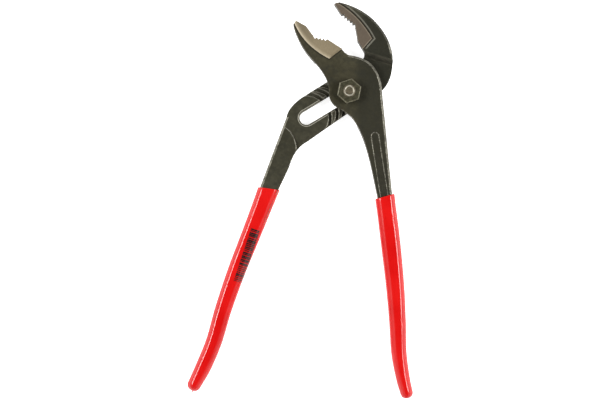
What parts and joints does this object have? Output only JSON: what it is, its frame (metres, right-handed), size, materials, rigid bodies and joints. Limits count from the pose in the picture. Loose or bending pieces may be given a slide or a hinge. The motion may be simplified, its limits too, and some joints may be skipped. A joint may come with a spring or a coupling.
{
  "type": "tongue and groove pliers",
  "caption": "Adjustable slip-joint pliers with a slotted, grooved arm, toothed angled jaws, a hexagon nut on the pivot and dipped red grips.",
  "frame": {"origin": "centre of the pivot bolt head's flat underside, on the pivot axis, with the pliers lying flat in their narrowest groove and opened 27 degrees", "axes": "+Z along the pivot axis towards the nut, +Y towards the jaws along the longest extent, +X towards the grooved lever's jaw"},
  "size_m": [0.1446, 0.254, 0.0209],
  "materials": {
    "forged_steel": "black phosphate",
    "forged_steel_upper": "black phosphate",
    "bolt_steel": "dark zinc",
    "nut_steel": "black phosphate",
    "grip_left": "glossy dipped",
    "grip_right": "glossy dipped"
  },
  "bodies": {
    "grooved_side": {"grooved_lever": "forged_steel", "grip_grooved": "grip_left"},
    "pivot": {"pivot_bolt": "bolt_steel", "hex_nut": "nut_steel"},
    "tongue_side": {"tongue_lever": "forged_steel_upper", "grip_tongue": "grip_right"}
  },
  "joints": [
    {"name": "groove_shift", "type": "slide", "parent": "grooved_side", "child": "pivot", "axis": [-0.8536, -0.521, 0], "range_m": [0, 0.0318]},
    {"name": "jaw_turn", "type": "hinge", "parent": "pivot", "child": "tongue_side", "pos_m": [0, 0, 0.0116], "axis": [0, 0, 1], "range_deg": [-26.9, 43]}
  ]
}
